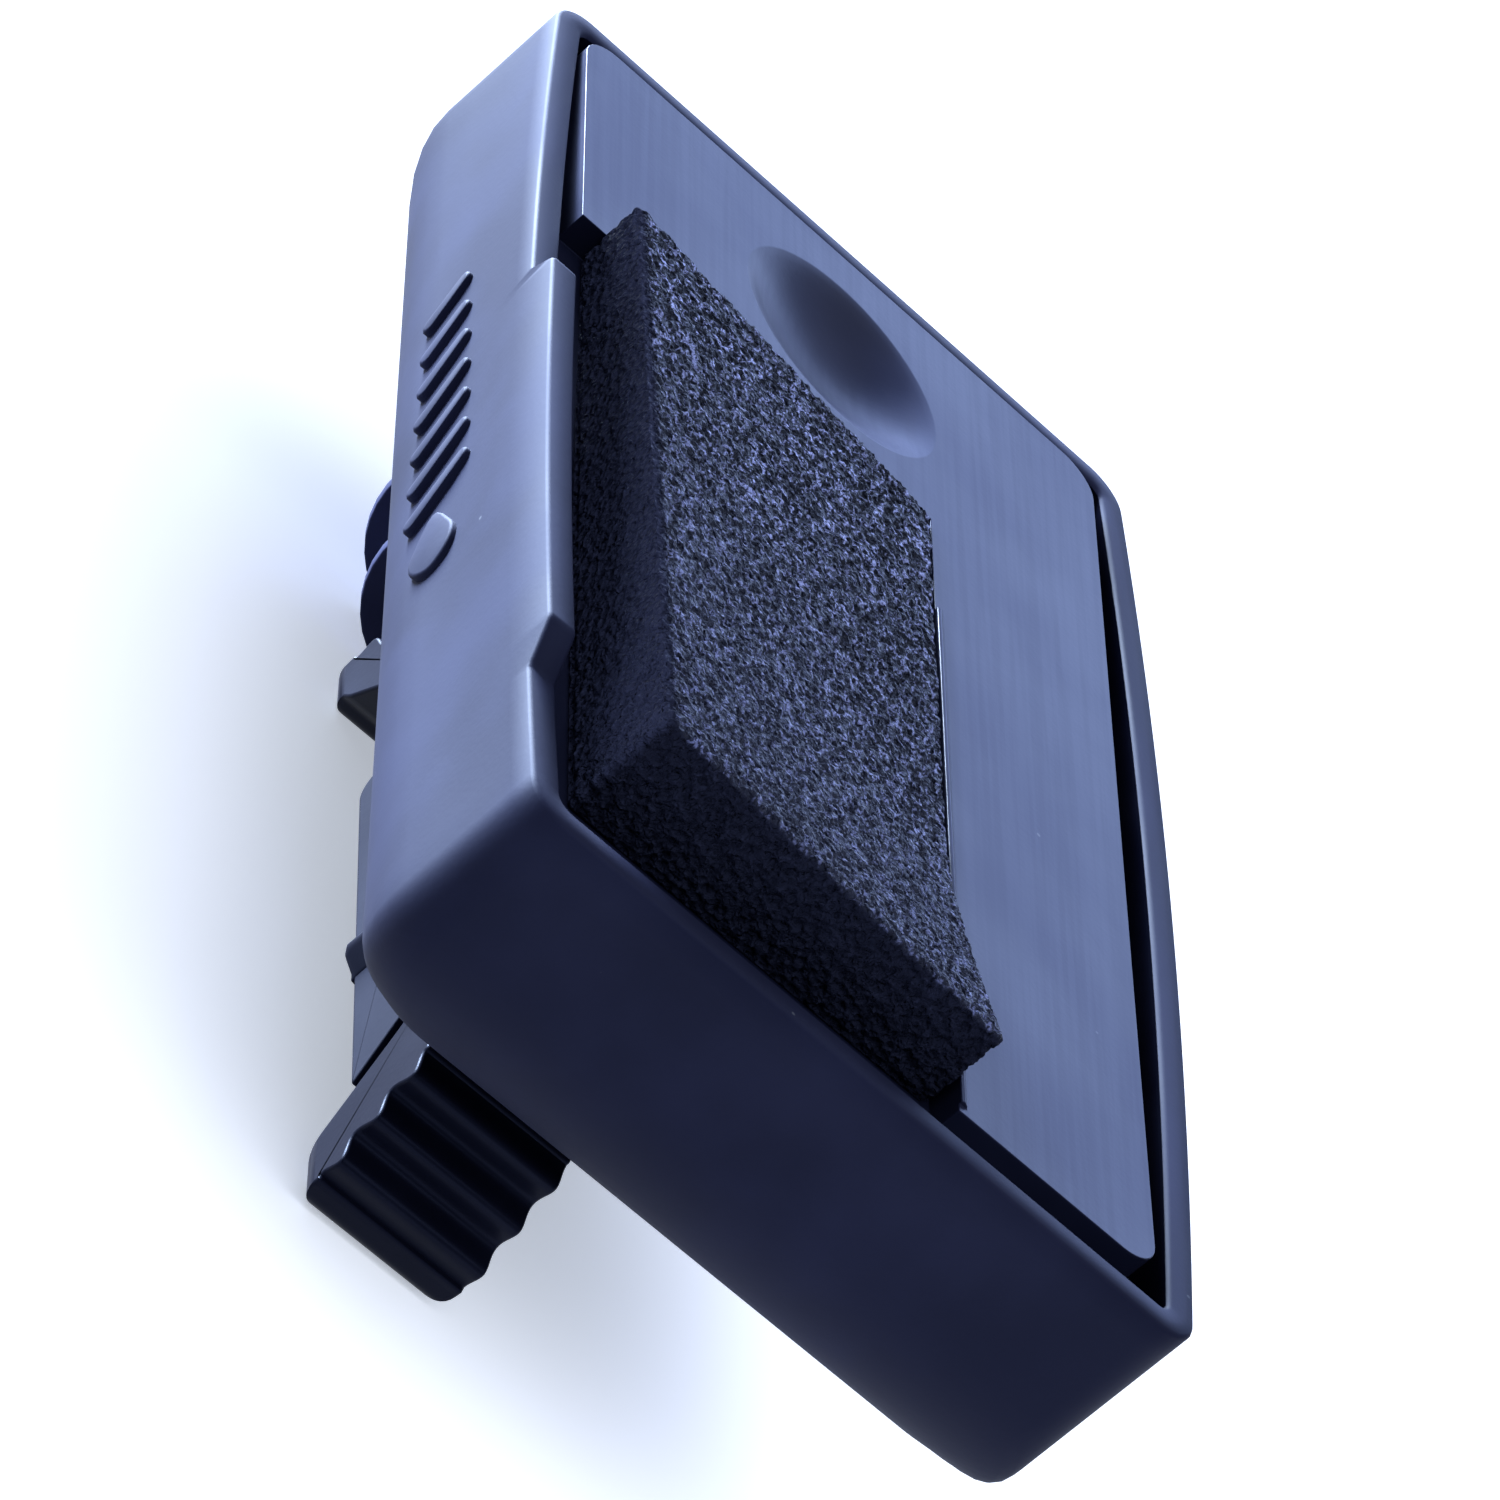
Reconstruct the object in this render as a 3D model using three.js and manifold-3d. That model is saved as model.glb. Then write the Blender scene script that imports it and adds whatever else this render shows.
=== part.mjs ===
// Clip-in ink pad: a moulded tray with a floating pad carrier, a foam pad, and a latch block underneath.
// Millimetres, +Z up out of the pad, +X across the tray, +Y along it. z = 0 is the plane that it stands on.
import * as THREE from 'three';
import { mergeVertices } from 'three/addons/utils/BufferGeometryUtils.js';
import Module from 'manifold-3d';

const wasm = await Module();
wasm.setup();

// Driving dimensions: tray
const rimHeight = 15.0;            // tray rim above the plane that the part stands on
const trayWidth = 24.0;
const trayLength = 44.2;
const trayDepth = 8.75;
const trayWall = 0.98;
const trayFloor = 1.0;
const trayCorner = 1.4;            // radius of the upright corners
const innerCorner = 0.5;           // and of the same corners inside
const trayBelly = { left: 4.2, right: 1.9, near: 4.4, far: 3.0 };   // radii from walls to underside
const rimBow = 0.68;               // outward bow of each long wall at its rim
const rimFlareDepth = 4.2;         // depth over which that bow fades out
const guardHeight = 0.8;           // raised guard on the left rim
const guardEnds = [-15.9, 4.6];
const guardSlopes = [1.5, 0.45];   // run of its near and far ends
const bossRadius = 0.8;            // pegs that centre the carrier's springs
const bossHeight = 1.2;

// Driving dimensions: pad carrier, foam and felt
const carrierWidth = 21.4;
const carrierLength = 41.2;
const carrierThick = 2.4;
const carrierCorner = 1.3;
const carrierOffset = [-0.25, 0.35];
const carrierProud = 0.15;         // its face above the rim
const carrierTravel = 1.2;
const pocketRight = 3.05;
const pocketFar = 9.6;
const pocketDepth = 1.05;
const wellWidth = 9.6;             // felt well under the foam
const wellLength = 22.0;
const wellCentre = [-3.7, -5.6];
const wellDepth = 0.9;
const dimpleCentre = [-0.45, 15.0];
const dimpleRadius = 3.9;
const dimpleDepth = 1.1;
const foamBox = { left: -10.1, right: 2.85, near: -19.3, far: 9.45 };
const foamRise = { nearLeft: 2.9, nearRight: 2.05, farLeft: 1.55, farRight: 0.35 };  // top above the rim
const hookStations = [[-7.5, -12.5], [-7.5, 15.5], [7.5, -15.5], [7.5, 15.5]];
const hookThick = 0.8;
const hookWidth = 2.4;
const hookCatch = 0.5;
const springStations = [[-6.0, -9.5], [-6.0, 11.0], [6.0, -9.5], [6.0, 11.0]];
const springCoilRadius = 1.35;
const springWire = 0.4;
const springTurns = 5;

// Driving dimensions: latch block
const latchCentre = [-3.7, -5.6];
const latchWidth = 5.2;
const latchPlate = 0.8;            // thickness of the base plate
const leverReach = 13.0;           // half the distance over the two lever tips
const pivotOut = 9.6;              // pivots from the latch centre
const pivotDrop = 1.8;             // pivots below the tray's underside
const pinRadius = 0.5;
const cheekThick = 0.7;
const cheekInset = 0.9;            // cheeks in from the sides of the levers
const cheekHalf = 0.95;
const cheekDrop = 2.4;             // cheeks reach this far below the tray
const cheekGap = 0.12;
const baseMargin = 0.6;            // base plate past the clip plates
const baseEnds = 1.6;              // and past the pivots
const leverHeadroom = 0.2;
const leverSpringSpace = { halfWidth: 0.75, radius: 1.05 };
const leverSpringCoil = { radius: 0.7, wire: 0.22, turns: 3, length: 1.1 };
const ribCount = 3;
const ribHeight = 0.5;
const clipThick = 0.8;
const clipDrop = 4.55;             // clip plates reach this far below the tray at their far ends
const clipRise = 0.45;             // and this much less at their near ends
const clipChamfer = 0.5;
const barbReach = 0.5;
const barbFar = -8.8;
const barbNear = -10.1;
const barbCatch = 0.4;             // steep side of the barb, seen from below
const screwStations = [-12.4, 1.9];
const screwShank = 0.7;
const screwHead = { radius: 1.35, height: 0.8, slotHalfWidth: 0.16, slotReach: 0.95 };
const railX = [4.2, 5.4];
const railY = [-4.0, 12.0];        // the rail that the part stands on beside its two levers
const armFar = 3.6;
const spoolX = -3.8;
const spoolY = 9.4;
const spoolRadius = 3.65;
const spoolDrop = 2.35;            // spool axis below the tray's underside
const spoolPitch = 3.5;
const spoolFlange = 0.42;
const spoolCore = 2.0;
const spoolOverhang = 0.5;         // core past each flange

const contact = 0.05;              // clearance left between faces that bear on each other
const fit = 0.3;                   // clearance round pieces that move
const over = 1.0;                  // how far a cutting tool runs past the face it cuts

// Levels worked out from those dimensions
const underside = rimHeight - trayDepth;
const floorTop = underside + trayFloor;
const carrierTop = rimHeight + carrierProud;
const carrierUnder = carrierTop - carrierThick;
const pocketFloor = carrierTop - pocketDepth;
const plateUnder = underside - contact - latchPlate;

const blackPlastic = { color: 0x1d1e2a, roughness: 0.42, metalness: 0.0 };
const carrierPlastic = { color: 0x262838, roughness: 0.35, metalness: 0.0 };
const foamLook = { color: 0x101118, roughness: 0.95, metalness: 0.0 };
const feltLook = { color: 0x0c0c12, roughness: 1.0, metalness: 0.0 };
const steel = { color: 0x9a9ca2, roughness: 0.3, metalness: 1.0 };

// Solids

function solid(geometry) {
  geometry.deleteAttribute('normal');
  geometry.deleteAttribute('uv');
  const merged = mergeVertices(geometry, 1e-4);
  const mesh = new wasm.Mesh({
    numProp: 3,
    vertProperties: new Float32Array(merged.attributes.position.array),
    triVerts: new Uint32Array(merged.index.array),
  });
  return new wasm.Manifold(mesh);
}

function geometryOf(manifold) {
  const mesh = manifold.getMesh();
  const geometry = new THREE.BufferGeometry();
  geometry.setAttribute('position', new THREE.BufferAttribute(new Float32Array(mesh.vertProperties), 3));
  geometry.setIndex(new THREE.BufferAttribute(new Uint32Array(mesh.triVerts), 1));
  geometry.computeVertexNormals();
  return geometry;
}

function block(x0, x1, y0, y1, z0, z1) {
  const geometry = new THREE.BoxGeometry(x1 - x0, y1 - y0, z1 - z0);
  geometry.translate((x0 + x1) / 2, (y0 + y1) / 2, (z0 + z1) / 2);
  return solid(geometry);
}

function polygon(points) {
  return new THREE.Shape(points.map(([u, v]) => new THREE.Vector2(u, v)));
}

function prismZ(shape, z0, z1, curveSegments = 8) {
  const geometry = new THREE.ExtrudeGeometry(shape, { depth: z1 - z0, bevelEnabled: false, curveSegments });
  geometry.translate(0, 0, z0);
  return solid(geometry);
}

// A profile drawn in (y, z), run along X
function prismX(shape, x0, x1, curveSegments = 8) {
  const geometry = new THREE.ExtrudeGeometry(shape, { depth: x1 - x0, bevelEnabled: false, curveSegments });
  const turn = new THREE.Matrix4().makeBasis(
    new THREE.Vector3(0, 1, 0), new THREE.Vector3(0, 0, 1), new THREE.Vector3(1, 0, 0));
  geometry.applyMatrix4(turn);
  geometry.translate(x0, 0, 0);
  return solid(geometry);
}

// A profile drawn in (x, z), run along Y
function prismY(shape, y0, y1, curveSegments = 8) {
  const geometry = new THREE.ExtrudeGeometry(shape, { depth: y1 - y0, bevelEnabled: false, curveSegments });
  const turn = new THREE.Matrix4().makeBasis(
    new THREE.Vector3(1, 0, 0), new THREE.Vector3(0, 0, 1), new THREE.Vector3(0, -1, 0));
  geometry.applyMatrix4(turn);
  geometry.translate(0, y1, 0);
  return solid(geometry);
}

function discZ(x, y, radius, z0, z1, sides = 20) {
  const geometry = new THREE.CylinderGeometry(radius, radius, z1 - z0, sides);
  geometry.rotateX(Math.PI / 2);
  geometry.translate(x, y, (z0 + z1) / 2);
  return solid(geometry);
}

function rodX(y, z, radius, x0, x1, sides = 20) {
  const geometry = new THREE.CylinderGeometry(radius, radius, x1 - x0, sides);
  geometry.rotateZ(Math.PI / 2);
  geometry.translate((x0 + x1) / 2, y, z);
  return solid(geometry);
}

function join(...solids) {
  return solids.reduce((sum, next) => sum.add(next));
}

function cut(body, ...tools) {
  return tools.reduce((rest, tool) => rest.subtract(tool), body);
}

function node(name, manifold, look) {
  const mesh = new THREE.Mesh(geometryOf(manifold), new THREE.MeshStandardMaterial(look));
  mesh.name = name;
  return mesh;
}

// Tray

// Rounded outline in (x, y) whose long sides bow outward by `bow`
function bowedOutline(width, length, radius, bow, cx = 0, cy = 0) {
  const [w, l] = [width / 2, length / 2];
  const shape = new THREE.Shape();
  shape.moveTo(cx - w + radius, cy - l);
  shape.lineTo(cx + w - radius, cy - l);
  shape.absarc(cx + w - radius, cy - l + radius, radius, -Math.PI / 2, 0, false);
  shape.quadraticCurveTo(cx + w + 2 * bow, cy, cx + w, cy + l - radius);
  shape.absarc(cx + w - radius, cy + l - radius, radius, 0, Math.PI / 2, false);
  shape.lineTo(cx - w + radius, cy + l);
  shape.absarc(cx - w + radius, cy + l - radius, radius, Math.PI / 2, Math.PI, false);
  shape.quadraticCurveTo(cx - w - 2 * bow, cy, cx - w, cy - l + radius);
  shape.absarc(cx - w + radius, cy - l + radius, radius, Math.PI, Math.PI * 1.5, false);
  return shape;
}

// U-shaped section with a round belly of one radius at each side; the walls flare by `flare` over the top
function bellyProfile(width, low, high, [first, second], flare) {
  const half = width / 2;
  const shape = new THREE.Shape();
  shape.moveTo(-half + first, low);
  shape.lineTo(half - second, low);
  shape.absarc(half - second, low + second, second, -Math.PI / 2, 0, false);
  shape.lineTo(half, rimHeight - rimFlareDepth);
  shape.lineTo(half + flare, rimHeight);
  shape.lineTo(half + flare, high);
  shape.lineTo(-half - flare, high);
  shape.lineTo(-half - flare, rimHeight);
  shape.lineTo(-half, rimHeight - rimFlareDepth);
  shape.lineTo(-half, low + first);
  shape.absarc(-half + first, low + first, first, Math.PI, Math.PI * 1.5, false);
  return shape;
}

// Block with the tray's outer or inner form: three crossing prisms
function trayForm(inset, low, high) {
  const width = trayWidth - 2 * inset;
  const length = trayLength - 2 * inset;
  const across = [trayBelly.left - inset, trayBelly.right - inset];
  const along = [trayBelly.near - inset, trayBelly.far - inset];
  const corner = Math.max(trayCorner - inset, innerCorner);
  const plan = prismZ(bowedOutline(width, length, corner, rimBow), low, high, 10);
  const ends = prismY(bellyProfile(width, low, high, across, rimBow + 0.05), -trayLength, trayLength);
  const sides = prismX(bellyProfile(length, low, high, along, 0), -trayWidth, trayWidth);
  return plan.intersect(ends).intersect(sides);
}

// Raised length of the left rim: ramps up at its near end and stops short at its far end
function guardOnRim() {
  const [near, far] = guardEnds;
  const top = rimHeight + guardHeight;
  const root = rimHeight - 0.5;
  const outline = polygon([
    [near, root], [far, root], [far, rimHeight], [far - guardSlopes[1], top],
    [near + guardSlopes[0], top], [near, rimHeight],
  ]);
  const band = prismZ(bowedOutline(trayWidth, trayLength, trayCorner, rimBow), root, top + over, 10);
  const inner = prismZ(bowedOutline(trayWidth - 2 * trayWall, trayLength - 2 * trayWall, innerCorner, rimBow),
    root - over, top + 2 * over, 10);
  return prismX(outline, -trayWidth, -trayWidth / 2 + 2 * trayWall).intersect(band).subtract(inner);
}

function hookSlot([x, y]) {
  const side = Math.sign(x);
  const inner = x - side * (hookThick / 2 + fit);
  const outer = x + side * (hookThick / 2 + hookCatch + fit);
  const half = hookWidth / 2 + fit;
  const [low, high] = [underside - over, floorTop + over];
  return block(Math.min(inner, outer), Math.max(inner, outer), y - half, y + half, low, high);
}

function trayShell() {
  const outside = trayForm(0, underside, rimHeight);
  const inside = trayForm(trayWall, floorTop, rimHeight + guardHeight + over);
  const bosses = springStations.map(([x, y]) =>
    discZ(x, y, bossRadius, floorTop - trayFloor / 2, floorTop + bossHeight, 16));
  const slots = hookStations.map(hookSlot);
  const holes = screwStations.map((y) =>
    discZ(latchCentre[0], y, screwShank + fit / 2, underside - over, floorTop + over));
  return cut(join(outside.subtract(inside), guardOnRim(), ...bosses), ...slots, ...holes);
}

// Pad carrier, foam and felt

// A leg with an outward catch that hangs through a slot in the tray's floor and stops the carrier
function carrierHook([x, y]) {
  const side = Math.sign(x);
  const headTop = underside - 0.1;
  const headTip = underside - 0.75;
  const leg = block(x - hookThick / 2, x + hookThick / 2, y - hookWidth / 2, y + hookWidth / 2,
    headTip, carrierUnder + 0.2);
  const reach = x + side * (hookThick / 2 + hookCatch);
  const root = x + side * (hookThick / 2 - 0.2);
  const nose = polygon(side > 0
    ? [[root, headTip], [root + 0.2, headTip], [reach, headTop - 0.15], [reach, headTop], [root, headTop]]
    : [[root, headTop], [reach, headTop], [reach, headTop - 0.15], [root - 0.2, headTip], [root, headTip]]);
  return leg.add(prismY(nose, y - hookWidth / 2, y + hookWidth / 2));
}

function dimpleBall() {
  const radius = (dimpleRadius ** 2 + dimpleDepth ** 2) / (2 * dimpleDepth);
  const geometry = new THREE.SphereGeometry(radius, 48, 40);
  geometry.rotateX(Math.PI / 2);
  geometry.translate(dimpleCentre[0], dimpleCentre[1], carrierTop - dimpleDepth + radius);
  return solid(geometry);
}

function padCarrier() {
  const [cx, cy] = carrierOffset;
  const outline = bowedOutline(carrierWidth, carrierLength, carrierCorner, 0, cx, cy);
  const plate = prismZ(outline, carrierUnder, carrierTop);
  const left = cx - carrierWidth;
  const near = cy - carrierLength;
  const pocket = block(left, pocketRight, near, pocketFar, pocketFloor, carrierTop + over);
  const [wx, wy] = wellCentre;
  const well = block(wx - wellWidth / 2, wx + wellWidth / 2, wy - wellLength / 2, wy + wellLength / 2,
    pocketFloor - wellDepth, pocketFloor + over);
  const body = cut(plate, pocket, well, dimpleBall());
  return join(body, ...hookStations.map(carrierHook));
}

// A felt slip that fills the well and feeds the foam from below
function inkFelt() {
  const [wx, wy] = wellCentre;
  const [halfWidth, halfLength] = [wellWidth / 2 - fit, wellLength / 2 - fit];
  return block(wx - halfWidth, wx + halfWidth, wy - halfLength, wy + halfLength,
    pocketFloor - wellDepth + contact, pocketFloor - contact);
}

// A block with a sloping top, higher at its near left corner
function foamPad() {
  const { left, right, near, far } = foamBox;
  const geometry = new THREE.BoxGeometry(right - left, far - near, 1);
  const base = pocketFloor + contact;
  const position = geometry.attributes.position;
  for (let i = 0; i < position.count; i += 1) {
    const isRight = position.getX(i) > 0;
    const isFar = position.getY(i) > 0;
    const rise = foamRise[`${isFar ? 'far' : 'near'}${isRight ? 'Right' : 'Left'}`];
    position.setZ(i, position.getZ(i) > 0 ? rimHeight + rise : base);
  }
  geometry.translate((left + right) / 2, (near + far) / 2, 0);
  return solid(geometry);
}

// Springs: wire round a helix

class Helix extends THREE.Curve {
  constructor(radius, pitch, turns) {
    super();
    Object.assign(this, { radius, pitch, turns });
  }

  getPoint(t, target = new THREE.Vector3()) {
    const angle = 2 * Math.PI * this.turns * t;
    const height = this.pitch * this.turns * t;
    return target.set(this.radius * Math.cos(angle), this.radius * Math.sin(angle), height);
  }
}

function coil(radius, wire, turns, length) {
  const section = new THREE.Shape().absarc(0, 0, wire / 2, 0, 2 * Math.PI, false);
  const path = new Helix(radius, (length - wire) / turns, turns);
  const geometry = new THREE.ExtrudeGeometry(section, {
    steps: Math.round(turns * 12), extrudePath: path, curveSegments: 3, bevelEnabled: false,
  });
  geometry.translate(0, 0, wire / 2);
  return geometry;
}

function carrierSpring([x, y]) {
  const seat = 0.06;
  const length = carrierUnder - floorTop - 2 * seat;
  const geometry = coil(springCoilRadius, springWire, springTurns, length);
  geometry.translate(x, y, floorTop + seat);
  return solid(geometry);
}

// Latch block

const latchLeft = latchCentre[0] - latchWidth / 2;
const latchRight = latchCentre[0] + latchWidth / 2;
const pivotZ = underside - pivotDrop;
const cheekSides = [latchLeft + cheekInset, latchRight - cheekInset - cheekThick];

function pivotY(end) {
  return latchCentre[1] + end * pivotOut;
}

function latchBase() {
  const top = underside - contact;
  const [left, right] = [latchLeft - baseMargin, latchRight + baseMargin];
  const plate = block(left, right, pivotY(-1) - baseEnds, pivotY(1) + baseEnds, plateUnder, top);
  const arm = block(latchRight, railX[1], railY[0], armFar, plateUnder, top);
  const rail = block(railX[0], railX[1], railY[0], railY[1], 0, top);
  const cheeks = [-1, 1].flatMap((end) => cheekSides.map((x) => {
    const [near, far] = [pivotY(end) - cheekHalf, pivotY(end) + cheekHalf];
    return block(x, x + cheekThick, near, far, underside - cheekDrop, plateUnder + latchPlate / 2);
  }));
  const bores = [-1, 1].map((end) =>
    rodX(pivotY(end), pivotZ, pinRadius + contact, latchLeft - over, latchRight + over));
  const pilots = screwStations.map((y) =>
    discZ(latchCentre[0], y, screwShank + contact, plateUnder - over, top + over));
  return cut(join(plate, arm, rail, ...cheeks), ...bores, ...pilots);
}

// Cross-head screw, driven down through the tray's floor into the base
function baseScrew(y) {
  const [x] = latchCentre;
  const { radius, height, slotHalfWidth, slotReach } = screwHead;
  const seat = floorTop + contact;
  const head = discZ(x, y, radius, seat, seat + height, 24);
  const shank = discZ(x, y, screwShank, plateUnder - latchPlate, seat + height / 2, 16);
  const [low, high] = [seat + height / 2, seat + height + over];
  const across = block(x - slotReach, x + slotReach, y - slotHalfWidth, y + slotHalfWidth, low, high);
  const along = block(x - slotHalfWidth, x + slotHalfWidth, y - slotReach, y + slotReach, low, high);
  return cut(head.add(shank), across, along);
}

function hingePin(end) {
  return rodX(pivotY(end), pivotZ, pinRadius, latchLeft + cheekInset / 2, latchRight - cheekInset / 2, 16);
}

// Ribbed face of a lever in (y, z): a wave that swells outward from a straight line, root to tip
function ribbedFace(root, tip) {
  const steps = ribCount * 6;
  const [dy, dz] = [tip[0] - root[0], tip[1] - root[1]];
  const span = Math.hypot(dy, dz);
  return Array.from({ length: steps + 1 }, (_, i) => {
    const t = i / steps;
    const swell = ribHeight / 2 * (1 - Math.cos(2 * Math.PI * ribCount * t));
    return [root[0] + dy * t + dz / span * swell, root[1] + dz * t - dy / span * swell];
  });
}

// The near lever is a wedge on its pin, with a ribbed outer face and a blunt foot
function nearLever() {
  const pivot = pivotY(-1);
  const tip = latchCentre[1] - leverReach;
  const top = plateUnder - leverHeadroom;
  const crown = 1.45;              // half the width of its root
  const foot = [0.45, 0.95];       // the flat that it stands on, in from the tip
  const profile = polygon([
    [pivot + crown, top], [pivot - crown, top],
    ...ribbedFace([pivot - crown, top - 0.1], [tip, 1.1]),
    [tip + 0.05, 0.4], [tip + foot[0], 0], [tip + foot[1], 0], [tip + 1.35, 0.2], [tip + 1.6, 0.65],
    [tip + 1.98, 0.97], [pivot + crown / 2, 4.0], [pivot + crown, top - 0.1],
  ]);
  const wedge = prismX(profile, latchLeft, latchRight);
  const cheekSpaces = cheekSides.map((x) => block(x - cheekGap, x + cheekThick + cheekGap,
    pivot - cheekHalf - 2 * cheekGap, pivot + crown + over, underside - cheekDrop - fit, underside));
  const pinEnd = cheekInset / 2 - 2 * contact;
  const bore = rodX(pivot, pivotZ, pinRadius + 2 * contact, latchLeft + pinEnd, latchRight - pinEnd);
  const [x, half, deep] = [latchCentre[0], leverSpringSpace.halfWidth, leverSpringSpace.radius];
  const springSpace = block(x - half, x + half, pivot - deep, pivot + deep, pivotZ - deep, underside);
  return cut(wedge, ...cheekSpaces, bore, springSpace);
}

function lever(end) {
  if (end < 0) {
    return nearLever();
  }
  return nearLever().mirror([0, 1, 0]).translate([0, 2 * latchCentre[1], 0]);
}

// Torsion spring round each pivot pin, between the cheeks and clear of the lever's hub
function leverSpring(end) {
  const { radius, wire, turns, length } = leverSpringCoil;
  const geometry = coil(radius, wire, turns, length);
  geometry.rotateY(Math.PI / 2);
  geometry.translate(latchCentre[0] - length / 2, pivotY(end), pivotZ);
  return solid(geometry);
}

// A clip plate hangs below the base, slanted along the near lever, with one barb on its outer face
function clipPlate(side) {
  const x0 = side < 0 ? latchLeft : latchRight - clipThick;
  const [low, high] = [underside - clipDrop, plateUnder - 3 * contact];
  const near = pivotY(-1) + 2.2;
  const slant = 2.35;
  const far = latchCentre[1] + 5.5;
  const outline = polygon([
    [near, high], [near - slant, low + clipRise], [far - clipChamfer, low], [far, low + clipChamfer],
    [far, high],
  ]);
  const plate = prismX(outline, x0, x0 + clipThick);
  const face = side < 0 ? latchLeft : latchRight;
  const tip = face + side * barbReach;
  const root = face - side * clipThick / 4;
  const points = [
    [root, barbFar], [face, barbFar], [tip, barbFar - barbCatch], [face, barbNear], [root, barbNear],
  ];
  const barbLow = low + clipRise / 2;
  const barb = prismZ(polygon(side < 0 ? points : points.reverse()), barbLow, high - clipChamfer);
  return plate.add(barb);
}

// Two thin flanges on a short core, cut flat where they meet the tray
function locatingSpool() {
  const flanges = [0, spoolPitch];
  const profile = [
    [0, -spoolOverhang],
    [spoolCore, -spoolOverhang],
    ...flanges.flatMap((h) => [
      [spoolCore, h], [spoolRadius, h], [spoolRadius, h + spoolFlange], [spoolCore, h + spoolFlange],
    ]),
    [spoolCore, spoolPitch + spoolFlange + spoolOverhang],
    [0, spoolPitch + spoolFlange + spoolOverhang],
  ].map(([r, h]) => new THREE.Vector2(r, h));
  const geometry = new THREE.LatheGeometry(profile, 40);
  geometry.translate(spoolX, spoolY, underside - spoolDrop);
  const above = block(-trayWidth, trayWidth, 0, trayLength, underside - contact, rimHeight);
  return cut(solid(geometry), above);
}

const inkPad = new THREE.Group();
inkPad.add(
  node('tray_shell', trayShell(), blackPlastic),
  node('latch_base', latchBase(), blackPlastic),
  node('locating_spool', locatingSpool(), blackPlastic),
  node('pad_carrier', padCarrier(), carrierPlastic),
  node('foam_pad', foamPad(), foamLook),
  node('ink_felt', inkFelt(), feltLook),
  node('clip_plate_left', clipPlate(-1), blackPlastic),
  node('clip_plate_right', clipPlate(1), blackPlastic),
);
for (const [end, label] of [[-1, 'near'], [1, 'far']]) {
  inkPad.add(
    node(`${label}_lever`, lever(end), blackPlastic),
    node(`${label}_hinge_pin`, hingePin(end), steel),
    node(`${label}_lever_spring`, leverSpring(end), steel),
  );
}
screwStations.forEach((y, i) => {
  inkPad.add(node(`base_screw_${i + 1}`, baseScrew(y), steel));
});
springStations.forEach((station, i) => {
  inkPad.add(node(`carrier_spring_${i + 1}`, carrierSpring(station), steel));
});

export default inkPad;
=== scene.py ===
import math

import bmesh
import bpy
from mathutils import Matrix, Vector, noise


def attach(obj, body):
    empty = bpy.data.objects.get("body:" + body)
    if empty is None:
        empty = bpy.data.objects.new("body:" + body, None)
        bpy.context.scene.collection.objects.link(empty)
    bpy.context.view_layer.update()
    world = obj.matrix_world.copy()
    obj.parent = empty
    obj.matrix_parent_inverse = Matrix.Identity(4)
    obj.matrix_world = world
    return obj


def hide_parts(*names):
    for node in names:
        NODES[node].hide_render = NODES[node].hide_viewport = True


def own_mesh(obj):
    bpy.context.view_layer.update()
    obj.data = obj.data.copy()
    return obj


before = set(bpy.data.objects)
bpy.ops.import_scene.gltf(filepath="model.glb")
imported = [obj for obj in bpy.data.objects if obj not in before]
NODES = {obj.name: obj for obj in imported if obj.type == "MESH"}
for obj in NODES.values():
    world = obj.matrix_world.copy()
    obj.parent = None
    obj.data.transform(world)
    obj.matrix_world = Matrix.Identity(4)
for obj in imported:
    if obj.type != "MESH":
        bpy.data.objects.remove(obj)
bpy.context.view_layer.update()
MM = 0.001

# Main sizes in millimetres. Z is measured from the plane that the part stands on.
RIM = 15.0
TRAY_HALF_WIDTH = 12.0
TRAY_HALF_LENGTH = 22.1
TRAY_DEPTH = 8.75
TRAY_WALL = 0.98
TRAY_FLOOR = 1.0
TRAY_CORNER = 1.4
TRAY_BELLY = {"left": 4.2, "right": 1.9, "near": 4.4, "far": 3.0}
RIM_BOW = 0.68
RIM_FLARE = 4.2
UNDERSIDE = RIM - TRAY_DEPTH
FLOOR_TOP = UNDERSIDE + TRAY_FLOOR
WALL_LEVELS = (11.5, 12.5, 13.5, 14.2)
INNER_CORNER = 0.5
GUARD_HEIGHT = 0.8
GUARD_NEAR, GUARD_FAR = -15.9, 4.6
GUARD_NEAR_RAMP, GUARD_FAR_RAMP = 1.5, 0.42
CARRIER_TOP = RIM + 0.15
CARRIER_UNDER = CARRIER_TOP - 2.4
POCKET_FLOOR = CARRIER_TOP - 1.05
POCKET_RIGHT = 3.05
POCKET_FAR = 9.6
PIVOT_Z = 4.45
LATCH_LEFT, LATCH_RIGHT = -6.3, -1.1
LATCH_CENTRE_Y = -5.6
NEAR_PIVOT_Y, FAR_PIVOT_Y = -15.2, 4.0
LEVER_TIP_Y = -18.6
LEG_SPOTS = ((-7.5, -12.5), (-7.5, 15.5), (7.5, -15.5), (7.5, 15.5))
SPRING_SPOTS = ((-6.0, -9.5), (-6.0, 11.0), (6.0, -9.5), (6.0, 11.0))
SCREW_SPOTS = ((-3.7, -12.4), (-3.7, 1.9))

# In degrees: edges sharper than this are rounded, and after that edges sharper than this stay sharp
ROUNDED_FROM = 35.0
SHARP_FROM = 32.0


# Camera: the photograph's viewing angle, in metres

CAMERA_LENS = 193.76
CAMERA_PLACE = (-0.08455, -0.19028, 0.09345)
CAMERA_RIGHT = (0.7052, -0.0054, 0.7090)
CAMERA_FORWARD = (0.3794, 0.8476, -0.3710)


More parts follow.
